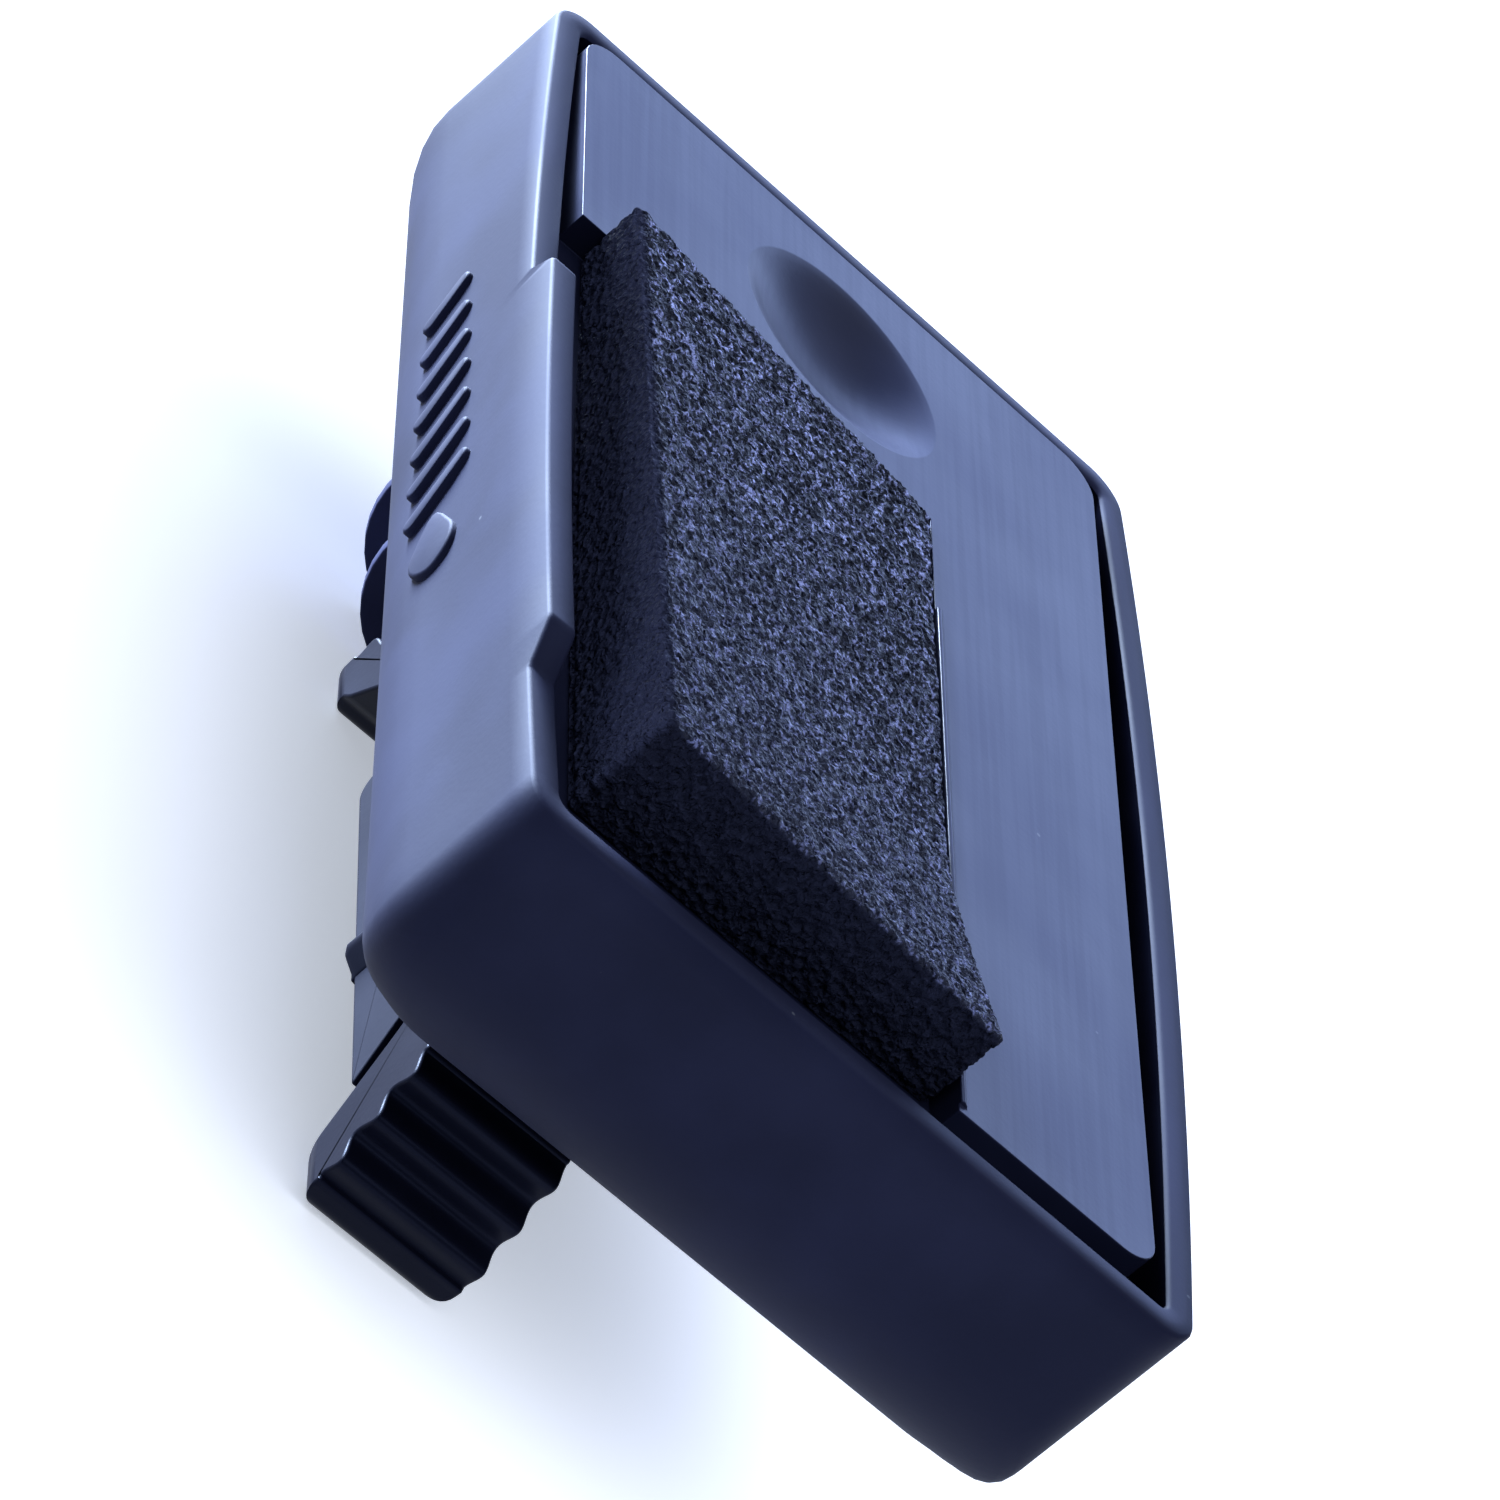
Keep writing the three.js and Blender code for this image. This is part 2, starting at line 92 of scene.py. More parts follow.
def add_camera():
    data = bpy.data.cameras.new("camera")
    data.sensor_width = 36.0
    data.lens = CAMERA_LENS
    data.clip_start = 0.01
    data.clip_end = 20.0
    right = Vector(CAMERA_RIGHT).normalized()
    forward = Vector(CAMERA_FORWARD).normalized()
    up = right.cross(forward).normalized()
    camera = bpy.data.objects.new("camera", data)
    turn = Matrix((right, up, -forward)).transposed().to_4x4()
    camera.matrix_world = Matrix.Translation(Vector(CAMERA_PLACE)) @ turn
    bpy.context.scene.collection.objects.link(camera)
    bpy.context.scene.camera = camera


add_camera()


# Mesh helpers (all lengths in millimetres; objects are made in metres)

def add_object(name, verts, faces, smooth_angle=30.0):
    mesh = bpy.data.meshes.new(name)
    mesh.from_pydata([(x * MM, y * MM, z * MM) for x, y, z in verts], [], faces)
    mesh.update()
    obj = bpy.data.objects.new(name, mesh)
    bpy.context.scene.collection.objects.link(obj)
    outward(mesh)
    smooth(mesh, smooth_angle)
    return obj


def outward(mesh):
    """Turns every face outwards."""
    bm = bmesh.new()
    bm.from_mesh(mesh)
    bmesh.ops.recalc_face_normals(bm, faces=bm.faces)
    bm.to_mesh(mesh)
    bm.free()


def smooth(mesh, angle):
    """Shades smoothly, apart from edges sharper than the angle in degrees."""
    mesh.shade_smooth()
    mesh.set_sharp_from_angle(angle=math.radians(angle))


def apply_modifiers(obj):
    graph = bpy.context.evaluated_depsgraph_get()
    mesh = bpy.data.meshes.new_from_object(obj.evaluated_get(graph))
    old = obj.data
    obj.modifiers.clear()
    obj.data = mesh
    bpy.data.meshes.remove(old)


def cut(obj, cutters, operation="DIFFERENCE"):
    """Takes the cutters out of an object, adds them or keeps what they share, then deletes them."""
    for cutter in cutters:
        modifier = obj.modifiers.new("cut", "BOOLEAN")
        modifier.operation = operation
        modifier.solver = "EXACT"
        modifier.object = cutter
    apply_modifiers(obj)
    for cutter in cutters:
        mesh = cutter.data
        bpy.data.objects.remove(cutter)
        bpy.data.meshes.remove(mesh)
    return obj


def soften(obj, width, segments=3):
    """Rounds the sharp edges and keeps the flats flat."""
    bevel = obj.modifiers.new("bevel", "BEVEL")
    bevel.width = width * MM
    bevel.segments = segments
    bevel.limit_method = "ANGLE"
    bevel.angle_limit = math.radians(ROUNDED_FROM)
    bevel.use_clamp_overlap = True
    bevel.harden_normals = False
    apply_modifiers(obj)
    return even_shading(obj, SHARP_FROM)


def even_shading(obj, angle, flat_ends=False):
    """Shades flats flat and lets the curves between them turn smoothly. Flat ends face along X."""
    smooth(obj.data, angle)
    if flat_ends:
        for face in obj.data.polygons:
            face.use_smooth = abs(face.normal.x) < 0.9999
    weighted = obj.modifiers.new("weighted", "WEIGHTED_NORMAL")
    weighted.keep_sharp = True
    weighted.weight = 90
    apply_modifiers(obj)
    return obj


def prism(name, outline, axis, low, high):
    """Extrudes an outline along X, Y or Z. The outline is drawn in the other two axes, in X, Y, Z order."""
    def place(u, v, w):
        return {"x": (w, u, v), "y": (u, w, v), "z": (u, v, w)}[axis]
    n = len(outline)
    verts = [place(u, v, low) for u, v in outline] + [place(u, v, high) for u, v in outline]
    faces = [tuple(range(n)), tuple(range(n, 2 * n))]
    faces += [(i, (i + 1) % n, n + (i + 1) % n, n + i) for i in range(n)]
    return add_object(name, verts, faces)


def box(name, x, y, z):
    return prism(name, [(x[0], y[0]), (x[1], y[0]), (x[1], y[1]), (x[0], y[1])], "z", z[0], z[1])


def disc_points(cx, cy, radius, sides):
    return [(cx + radius * math.cos(2 * math.pi * i / sides), cy + radius * math.sin(2 * math.pi * i / sides))
            for i in range(sides)]


def rounded_polygon(points, radii, steps=5):
    """Polygon with each corner replaced by an arc-like curve of its own radius."""
    out = []
    n = len(points)
    for i, (p, r) in enumerate(zip(points, radii)):
        p = Vector(p)
        before, after = Vector(points[i - 1]) - p, Vector(points[(i + 1) % n]) - p
        reach = min(r, before.length * 0.49, after.length * 0.49)
        if reach <= 1e-6:
            out.append(tuple(p))
            continue
        a, b = p + before.normalized() * reach, p + after.normalized() * reach
        for k in range(steps + 1):
            t = k / steps
            out.append(tuple(a * (1 - t) ** 2 + p * 2 * t * (1 - t) + b * t ** 2))
    return out


def tube(name, points, radius):
    """Round wire along a path, closed at both ends."""
    sides = 10
    path = [Vector(p) for p in points]
    verts, faces = [], []
    side = None
    for i, p in enumerate(path):
        ahead = (path[min(i + 1, len(path) - 1)] - path[max(i - 1, 0)]).normalized()
        if side is None:
            side = ahead.orthogonal().normalized()
        side = (side - ahead * side.dot(ahead)).normalized()
        other = ahead.cross(side)
        for k in range(sides):
            a = 2 * math.pi * k / sides
            verts.append(p + (side * math.cos(a) + other * math.sin(a)) * radius)
    for i in range(len(path) - 1):
        for k in range(sides):
            a, b = i * sides + k, i * sides + (k + 1) % sides
            faces.append((a, b, b + sides, a + sides))
    faces.append(tuple(range(sides)))
    faces.append(tuple(range((len(path) - 1) * sides, len(path) * sides)))
    return add_object(name, [tuple(v) for v in verts], faces, 60.0)


def loft(rings):
    """Vertices and faces of a closed skin through rings that all hold the same number of points."""
    n = len(rings[0])
    verts = [p for ring in rings for p in ring]
    faces = []
    for r in range(len(rings) - 1):
        for i in range(n):
            a, b = r * n + i, r * n + (i + 1) % n
            faces.append((a, b, b + n, a + n))
    faces.append(tuple(range(n)))
    faces.append(tuple(range((len(rings) - 1) * n, len(rings) * n)))
    return verts, faces


def join(name, objects):
    """Makes one object of several. It keeps the first one's materials."""
    bm = bmesh.new()
    for obj in objects:
        bm.from_mesh(obj.data)
    mesh = bpy.data.meshes.new(name)
    bm.to_mesh(mesh)
    bm.free()
    joined = bpy.data.objects.new(name, mesh)
    bpy.context.scene.collection.objects.link(joined)
    for material in objects[0].data.materials:
        mesh.materials.append(material)
    for obj in objects:
        old = obj.data
        bpy.data.objects.remove(obj)
        bpy.data.meshes.remove(old)
    return joined


# Materials

class Nodes:
    """Short names for building a material's node tree."""

    def __init__(self, name):
        self.material = bpy.data.materials.new(name)
        self.material.use_nodes = True
        self.tree = self.material.node_tree
        self.surface = self.tree.nodes["Principled BSDF"]
        self.place = self.add("ShaderNodeTexCoord").outputs["Object"]

    def add(self, kind, inputs=None, **settings):
        node = self.tree.nodes.new(kind)
        for key, value in settings.items():
            setattr(node, key, value)
        for key, value in (inputs or {}).items():
            if isinstance(value, bpy.types.NodeSocket):
                self.tree.links.new(value, node.inputs[key])
            else:
                node.inputs[key].default_value = value
        return node

    def scaled(self, x, y, z):
        return self.add("ShaderNodeMapping", {"Vector": self.place, "Scale": (x, y, z)}).outputs["Vector"]

    def noise(self, scale, detail=4.0, roughness=0.55, vector=None, distortion=0.0):
        return self.add("ShaderNodeTexNoise", {
            "Vector": vector or self.place, "Scale": scale, "Detail": detail, "Roughness": roughness,
            "Distortion": distortion}).outputs["Fac"]

    def cells(self, scale, vector=None):
        return self.add("ShaderNodeTexVoronoi", {
            "Vector": vector or self.place, "Scale": scale}).outputs["Distance"]

    def ramp(self, value, low, high, to_low=0.0, to_high=1.0):
        return self.add("ShaderNodeMapRange", {
            "Value": value, "From Min": low, "From Max": high, "To Min": to_low, "To Max": to_high},
            interpolation_type="SMOOTHSTEP").outputs["Result"]

    def math(self, operation, a, b):
        return self.add("ShaderNodeMath", {0: a, 1: b}, operation=operation).outputs[0]

    def mix(self, factor, a, b):
        node = self.add("ShaderNodeMix", {"Factor": factor}, data_type="RGBA")
        for key, value in (("A", a), ("B", b)):
            socket = [s for s in node.inputs if s.name == key and s.type == "RGBA"][0]
            if isinstance(value, bpy.types.NodeSocket):
                self.tree.links.new(value, socket)
            else:
                socket.default_value = (*value, 1.0)
        return [s for s in node.outputs if s.type == "RGBA"][0]

    def bump(self, height, distance, strength, normal=None):
        inputs = {"Height": height, "Distance": distance, "Strength": strength}
        if normal is not None:
            inputs["Normal"] = normal
        return self.add("ShaderNodeBump", inputs).outputs["Normal"]

    def set(self, **values):
        for key, value in values.items():
            socket = self.surface.inputs[key.replace("_", " ")]
            if isinstance(value, bpy.types.NodeSocket):
                self.tree.links.new(value, socket)
            else:
                socket.default_value = (*value, 1.0) if isinstance(value, tuple) else value
        return self.material


DUST = (0.045, 0.05, 0.065)


def moulded_plastic(name, colour, rough, grain=1.0, brushed=0.0, shine=0.09):
    """Dark injection-moulded plastic: fine texture, faint cloudiness, sparse dust and hairline rubs."""
    n = Nodes(name)
    cloud = n.noise(140.0, 3.0)
    fine = n.noise(5200.0, 2.0)
    rubs = n.noise(4200.0, 3.0, vector=n.scaled(1.0, 0.02, 1.0))
    dust = n.ramp(n.cells(420.0), 0.035, 0.02)
    dust_here = n.math("MULTIPLY", dust, n.ramp(n.noise(300.0, 1.0), 0.58, 0.64))
    tint = n.mix(n.ramp(cloud, 0.35, 0.7), colour, tuple(1.5 * c + 0.001 for c in colour))
    base = n.mix(dust_here, tint, DUST)
    roughness = n.math("ADD", n.ramp(cloud, 0.3, 0.7, rough - 0.03, rough + 0.05),
                       n.ramp(rubs, 0.35, 0.65, -0.015 * brushed, 0.015 * brushed))
    relief = n.bump(fine, 0.00001, 0.35 * grain)
    relief = n.bump(rubs, 0.000008, 0.14 * brushed, relief)
    relief = n.bump(cloud, 0.0002, 0.10, relief)
    return n.set(Base_Color=base, Roughness=roughness, Normal=relief, Specular_IOR_Level=shine,
                 Specular_Tint=(0.45, 0.55, 1.0))


def foam_material(name):
    """Open-cell foam, soaked dark, with pores between struts. The struts' glints are painted highlights, on
    the top only and fainter at the near end; the sides get flat colours of their own, and the left side is
    painted lighter.
    """
    n = Nodes(name)
    bent = n.add("ShaderNodeTexNoise", {"Vector": n.place, "Scale": 5000.0, "Detail": 2.0}).outputs["Color"]
    wobble = n.add("ShaderNodeVectorMath", {0: bent, 3: 0.00022}, operation="SCALE").outputs[0]
    place = n.add("ShaderNodeVectorMath", {0: n.place, 1: wobble}, operation="ADD").outputs[0]
    pores = n.cells(3300.0, vector=place)
    small = n.cells(8200.0, vector=place)
    fibre = n.noise(7000.0, 3.0, 0.65)
    struts = n.ramp(pores, 0.50, 0.72)
    # Painted highlight: the struts get a bright colour that stands in for their glints.
    painted_glints = n.math("MULTIPLY", struts, n.ramp(fibre, 0.44, 0.60))
    top = n.add("ShaderNodeAttribute", attribute_name="top").outputs["Fac"]
    # Painted light: only the top, marked by the top attribute, gets the painted glints and more gloss.
    lit_top = n.ramp(n.math("ADD", top, n.math("MULTIPLY", n.noise(1500.0, 1.0), 0.3)), 0.25, 1.0)
    patch = n.math("MULTIPLY", n.ramp(lit_top, 0.0, 1.0, 0.05, 1.0),
                   n.ramp(n.noise(260.0, 3.0), 0.35, 0.7, 0.6, 1.0))
    along = n.add("ShaderNodeSeparateXYZ", {0: n.place}).outputs["Y"]
    # The painted glints grow brighter towards the far end, and the top's colour between them darker.
    toward_far = n.ramp(along, -0.019, 0.004)
    # Painted light: the foam's left side is painted lighter than its other sides.
    painted_left_light = n.add("ShaderNodeAttribute", attribute_name="left").outputs["Fac"]
    sides = n.mix(painted_left_light, (0.0090, 0.0105, 0.0220), (0.0300, 0.0350, 0.0720))
    soaked_and_side_light = n.mix(lit_top, sides, n.mix(toward_far, (0.0075, 0.0085, 0.0190), (0.0016, 0.0019, 0.0055)))
    glint_colour = n.mix(toward_far, (0.145, 0.168, 0.345), (0.31, 0.355, 0.69))
    base = n.mix(n.math("MULTIPLY", painted_glints, patch), soaked_and_side_light, glint_colour)
    relief = n.bump(pores, 0.00022, 1.0)
    relief = n.bump(small, 0.00008, 0.7, relief)
    relief = n.bump(fibre, 0.00006, 0.6, relief)
    roughness = n.ramp(fibre, 0.35, 0.7, 0.7, 0.36)
    gloss = n.ramp(lit_top, 0.0, 1.0, 0.03, 0.24)
    return n.set(Base_Color=base, Roughness=roughness, Normal=relief, Specular_IOR_Level=gloss,
                 Specular_Tint=(0.6, 0.7, 1.0))


def felt_material(name):
    """Dark felt with its fibres along Y."""
    n = Nodes(name)
    fibres = n.noise(2600.0, 4.0, 0.7, vector=n.scaled(1.0, 0.3, 1.0), distortion=1.5)
    base = n.mix(n.ramp(fibres, 0.4, 0.65), (0.004, 0.004, 0.007), (0.02, 0.02, 0.03))
    return n.set(Base_Color=base, Roughness=0.9, Normal=n.bump(fibres, 0.0001, 0.8), Specular_IOR_Level=0.2)


def steel_material(name):
    """Drawn wire with a faint stain."""
    rough = 0.28
    n = Nodes(name)
    drawn = n.noise(4200.0, 2.0)
    stain = n.noise(500.0, 3.0)
    base = n.mix(n.ramp(stain, 0.4, 0.75), (0.52, 0.52, 0.54), (0.36, 0.35, 0.35))
    roughness = n.ramp(drawn, 0.3, 0.7, rough - 0.06, rough + 0.12)
    return n.set(Base_Color=base, Metallic=1.0, Roughness=roughness, Normal=n.bump(drawn, 0.00001, 0.4))


SHELL = moulded_plastic("shell_plastic", (0.0060, 0.0070, 0.0185), 0.64)
# Painted shade: the tray's inner walls get a near-black copy of the plastic without sheen.
INSIDE_SHADE = moulded_plastic("inside_painted_shade", (0.0012, 0.0014, 0.0040), 0.70, shine=0.0)
# Painted shade: the levers' plastic is painted darker than the shell's.
LEVER_PAINTED_SHADE = moulded_plastic("lever_plastic_painted_shade", (0.0026, 0.0031, 0.0078), 0.38)
# Painted light: the spool's plastic is painted lighter than the shell's.
SPOOL_PAINTED_LIGHT = moulded_plastic("spool_plastic_painted_light", (0.0140, 0.0160, 0.0400), 0.50)
# Painted shade: the latch base's and clip plates' plastic is painted darker than the shell's.
LATCH_PAINTED_SHADE = moulded_plastic("latch_plastic_painted_shade", (0.0034, 0.0040, 0.0098), 0.50)
PLATE = moulded_plastic("carrier_plastic", (0.0065, 0.0078, 0.020), 0.38, 0.6, 1.0)
FOAM = foam_material("inked_foam")
FELT = felt_material("inked_felt")
STEEL = steel_material("spring_steel")


def finish_piece(obj, material, body, slot_name, *nodes):
    """Gives a piece its material and its body, and hides the CAD nodes that it replaces. Its slot name is not
    used.
    """
    obj.data.materials.clear()
    obj.data.materials.append(material)
    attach(obj, body)
    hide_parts(*nodes)
    return obj


# Tray. The long sides have a point every 1.5 mm, and more where the guard rises and falls.

SIDE_STATIONS = sorted(set(
    [round(-19.5 + 1.5 * i, 3) for i in range(27)]
    + [-16.3, -16.05, -15.9, -15.75, -15.5, -14.9, -14.55, -14.4, -14.25, -14.0]
    + [3.9, 4.05, 4.15, 4.2, 4.3, 4.45, 4.6, 4.65, 4.75, 4.9]))
END_STEPS = 12
CORNER_STEPS = 8


def tray_ring(inset, z, corner, growth=0.0, lift=0.0):
    """Points round the tray, counter-clockwise from the near left corner. Each side has its inset and z."""
    x0, x1 = -TRAY_HALF_WIDTH + inset["left"], TRAY_HALF_WIDTH - inset["right"]
    y0, y1 = -TRAY_HALF_LENGTH + inset["near"], TRAY_HALF_LENGTH - inset["far"]

    def radius(a, b):
        return corner + growth * (inset[a] + inset[b]) / 2

    def turn(a, b, cx, cy, r, start):
        points = []
        for i in range(CORNER_STEPS + 1):
            t = i / CORNER_STEPS
            angle = math.radians(start + 90 * t)
            blend = t * t * (3 - 2 * t)
            height = z[a] * (1 - blend) + z[b] * blend
            points.append((cx + r * math.cos(angle), cy + r * math.sin(angle), height))
        return points

    def side(x, bow, low, high, height):
        full = TRAY_HALF_LENGTH - TRAY_CORNER
        straight = low < SIDE_STATIONS[0] and high > SIDE_STATIONS[-1]
        points = []
        for station in SIDE_STATIONS:
            y = station if straight else low + (high - low) * (station + full) / (2 * full)
            points.append((x + bow * (1 - (station / full) ** 2), y, height))
        return points

    near_left, near_right = radius("near", "left"), radius("near", "right")
    far_right, far_left = radius("far", "right"), radius("far", "left")
    ring = []
    for i in range(END_STEPS):
        ring.append((x0 + near_left + (x1 - near_right - x0 - near_left) * i / END_STEPS, y0, z["near"]))
    ring += turn("near", "right", x1 - near_right, y0 + near_right, near_right, -90)
    ring += side(x1, bow_at(z["right"]), y0 + near_right, y1 - far_right, z["right"])
    ring += turn("right", "far", x1 - far_right, y1 - far_right, far_right, 0)
    for i in range(1, END_STEPS):
        ring.append((x1 - far_right - (x1 - far_right - x0 - far_left) * i / END_STEPS, y1, z["far"]))
    ring += turn("far", "left", x0 + far_left, y1 - far_left, far_left, 90)
    ring += reversed(side(x0, -bow_at(z["left"]), y0 + near_left, y1 - far_left, z["left"]))
    ring += turn("left", "near", x0 + near_left, y0 + near_left, near_left, 180)[:-1]
    return [(x, y, height + lift * guard_rise(x, y)) for x, y, height in ring]


def all_round(value):
    """The same value for each side of the tray."""
    return {side: value for side in TRAY_BELLY}


def belly_ring(radii, bottom, wall, angle, corner, growth):
    """Ring on the rounded lower edges: up where the walls start at angle 0, on the bottom at 90 degrees."""
    inset = {side: wall + r * (1 - math.cos(angle)) for side, r in radii.items()}
    z = {side: bottom + r * (1 - math.sin(angle)) for side, r in radii.items()}
    return tray_ring(inset, z, corner, growth)


def bow_at(z):
    """How far the long walls bulge at mid-length: not at all low down, and fully at the rim."""
    return RIM_BOW * min(max((z - RIM + RIM_FLARE) / RIM_FLARE, 0.0), 1.0)


def guard_rise(x, y):
    """How far the left rim stands above the rest, along its guard."""
    if x > -10.0:
        return 0.0
    near = min(max((y - GUARD_NEAR) / GUARD_NEAR_RAMP, 0.0), 1.0)
    far = min(max((GUARD_FAR - y) / GUARD_FAR_RAMP, 0.0), 1.0)
    return GUARD_HEIGHT * min(near, far)


def make_tray():
    rings = []
    steps = 9
    for i in range(steps, -1, -1):
        rings.append(belly_ring(TRAY_BELLY, UNDERSIDE, 0, math.radians(90 * i / steps), TRAY_CORNER, 0.2))
    for z in WALL_LEVELS:
        rings.append(tray_ring(all_round(0), all_round(z), TRAY_CORNER))
    lip = 0.13
    for inset, drop in ((0, lip), (0.05, 0.05), (lip, 0), (TRAY_WALL / 2, 0), (TRAY_WALL - lip, 0),
                        (TRAY_WALL - 0.05, 0.05), (TRAY_WALL, lip)):
        corner = max(TRAY_CORNER - inset, INNER_CORNER)
        rings.append(tray_ring(all_round(inset), all_round(RIM - drop), corner, lift=1.0))
    for z in reversed(WALL_LEVELS):
        rings.append(tray_ring(all_round(TRAY_WALL), all_round(z), INNER_CORNER))
    inner = {side: r - TRAY_WALL for side, r in TRAY_BELLY.items()}
    for i in range(steps + 1):
        angle = math.radians(90 * i / steps)
        rings.append(belly_ring(inner, FLOOR_TOP, TRAY_WALL, angle, INNER_CORNER, 0.3))
    verts, faces = loft(rings)
    tray = add_object("tray_body", verts, faces, 40.0)
    cutters = []
    for x, y in LEG_SPOTS:
        side = 1 if x > 0 else -1
        xs = sorted((x - side * 0.7, x + side * 1.2))
        cutters.append(box("slot", xs, (y - 1.5, y + 1.5), (UNDERSIDE - 1, FLOOR_TOP + 1)))
    for x, y in SCREW_SPOTS:
        cutters.append(prism("hole", disc_points(x, y, 0.85, 24), "z", UNDERSIDE - 1, FLOOR_TOP + 1))
    cut(tray, cutters)
    smooth(tray.data, 40.0)
    return tray


def spring_boss(x, y):
    """Round stud on the tray's floor, inside a carrier spring."""
    rings = [[(px, py, z) for px, py in disc_points(x, y, r, 20)]
             for r, z in ((0.8, FLOOR_TOP - 0.3), (0.8, FLOOR_TOP + 1.05), (0.65, FLOOR_TOP + 1.2))]
    return add_object("boss", *loft(rings))


tray = make_tray()
tray = join("tray", [tray] + [spring_boss(x, y) for x, y in SPRING_SPOTS])
smooth(tray.data, 40.0)
finish_piece(tray, SHELL, "tray", "black_plastic", "tray_shell")
# Painted shade: the inner walls below the rim take the near-black plastic.
tray.data.materials.append(INSIDE_SHADE)
for face in tray.data.polygons:
    faces_in = face.normal.x * face.center.x + face.normal.y * face.center.y < 0
    if faces_in and abs(face.normal.z) < 0.5 and face.center.z < (RIM - 0.1) * MM:
        face.material_index = 1


# Relief on the tray's left face: a drop and a row of short bars

def left_face_x(y, z):
    """Where the tray's bowed left face is."""
    reach = TRAY_HALF_LENGTH - TRAY_CORNER
    return -(TRAY_HALF_WIDTH + bow_at(z) * (1 - (y / reach) ** 2))


def raised_shape(outline):
    """Closed low relief that follows the left face. The outline is in (y, z)."""
    height = 0.2
    centre = sum((Vector(p) for p in outline), Vector((0, 0))) / len(outline)
    rings = []
    for grow, out in ((0.0, -0.1), (0.0, height * 0.6), (0.05, height * 0.9), (0.12, height)):
        ring = []
        for p in outline:
            v = Vector(p)
            pull = centre - v
            q = v + pull.normalized() * min(grow, pull.length * 0.5)
            ring.append((left_face_x(q.x, q.y) - out, q.x, q.y))
        rings.append(ring)
    return add_object("relief", *loft(rings), 50.0)


def bar_outline(y, z, length, width, lean):
    """Bar with round ends, leaning by an angle in degrees."""
    half = length / 2
    points = []
    for end, start in ((1, -90), (-1, 90)):
        for k in range(7):
            a = math.radians(start + 180 * k / 6)
            points.append((width / 2 * math.cos(a) + end * (half - width / 2), width / 2 * math.sin(a)))
    c, s = math.cos(math.radians(lean)), math.sin(math.radians(lean))
    return [(y + u * c - v * s, z + u * s + v * c) for u, v in points]


def drop_outline(y, z, radius):
    """Circle drawn out to a soft point at its far side."""
    sides = 28
    points = []
    for k in range(sides):
        a = 2 * math.pi * k / sides
        stretch = 1.0 + 0.9 * max(0.0, math.cos(a)) ** 4
        points.append((y + radius * math.cos(a) * stretch, z + radius * math.sin(a)))
    return points


def make_relief():
    """A drop and a row of bars that get shorter towards the far end."""
    first_bar, pitch, longest, shorter, thick, lean = -2.3, 1.75, 2.9, 0.12, 0.5, 68
    shapes = [raised_shape(drop_outline(-5.2, RIM - 4.1, 0.95))]
    for i in range(7):
        bar = bar_outline(first_bar + pitch * i, RIM - 4.0, longest - shorter * i, thick, lean)
        shapes.append(raised_shape(bar))
    relief = join("face_relief", shapes)
    smooth(relief.data, 50.0)
    return relief


relief = make_relief()
relief.data.materials.append(SHELL)
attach(relief, "tray")


# Pad carrier

def rounded_rectangle(x0, x1, y0, y1, radius):
    steps = 8
    corners = ((x1 - radius, y0 + radius, -90), (x1 - radius, y1 - radius, 0),
               (x0 + radius, y1 - radius, 90), (x0 + radius, y0 + radius, 180))
    points = []
    for cx, cy, start in corners:
        for i in range(steps + 1):
            a = math.radians(start + 90 * i / steps)
            points.append((cx + radius * math.cos(a), cy + radius * math.sin(a)))
    return points


PLATE_X = (-10.95, 10.45)
PLATE_Y = (-20.25, 20.95)


def dimple_cutter():
    """A round bowl inside a shallow ledge with a soft edge."""
    cx, cy, radius = -0.45, 15.0, 4.15
    sides, rows = 72, 30
    ledge, ledge_share = 0.09, 0.13
    bowl, bowl_share, bowl_power = 1.1, 0.90, 1.3
    above = 0.03
    rings = []
    for j in range(rows + 1):
        t = 1 - j / rows
        r = radius * t
        step = min(1.0, (1 - t) / ledge_share)
        drop = ledge * step * step * (3 - 2 * step)
        drop += bowl * (1 - min(1.0, t / bowl_share) ** 2) ** bowl_power
        ring = []
        for x, y in disc_points(cx, cy, max(r, 0.02), sides):
            ring.append((x, y, CARRIER_TOP + above - drop))
        rings.append(ring)
    top = [[(x, y, CARRIER_TOP + 1) for x, y in disc_points(cx, cy, radius, sides)]]
    return add_object("dimple", *loft(top + rings), 60.0)


def make_carrier():
    """Plate with the foam's pocket, the felt's well, a thin lip beside the foam, a dimple and four legs."""
    outline = rounded_rectangle(*PLATE_X, *PLATE_Y, 1.3)
    plate = prism("carrier_plate", outline, "z", CARRIER_UNDER, CARRIER_TOP)
    pocket = box("pocket", (PLATE_X[0] - 1, POCKET_RIGHT), (PLATE_Y[0] - 1, POCKET_FAR),
                 (POCKET_FLOOR, CARRIER_TOP + 1))
    well = box("well", (-8.5, 1.1), (-16.6, 5.4), (POCKET_FLOOR - 0.9, CARRIER_TOP + 1))
    cut(plate, [pocket, well])
    lip = [(0.0, -0.3), (0.0, 0.10), (0.10, 0.14), (0.26, 0.06), (0.42, -0.3)]
    lip = [(POCKET_RIGHT + across, CARRIER_TOP + up) for across, up in lip]
    cut(plate, [prism("lip", lip, "y", PLATE_Y[0] + 0.3, 4.6)], "UNION")
    soften(plate, 0.24, 4)
    cut(plate, [dimple_cutter()])
    legs = [hook_leg(x, y) for x, y in LEG_SPOTS]
    return even_shading(join("carrier", [plate] + legs), 26.0)


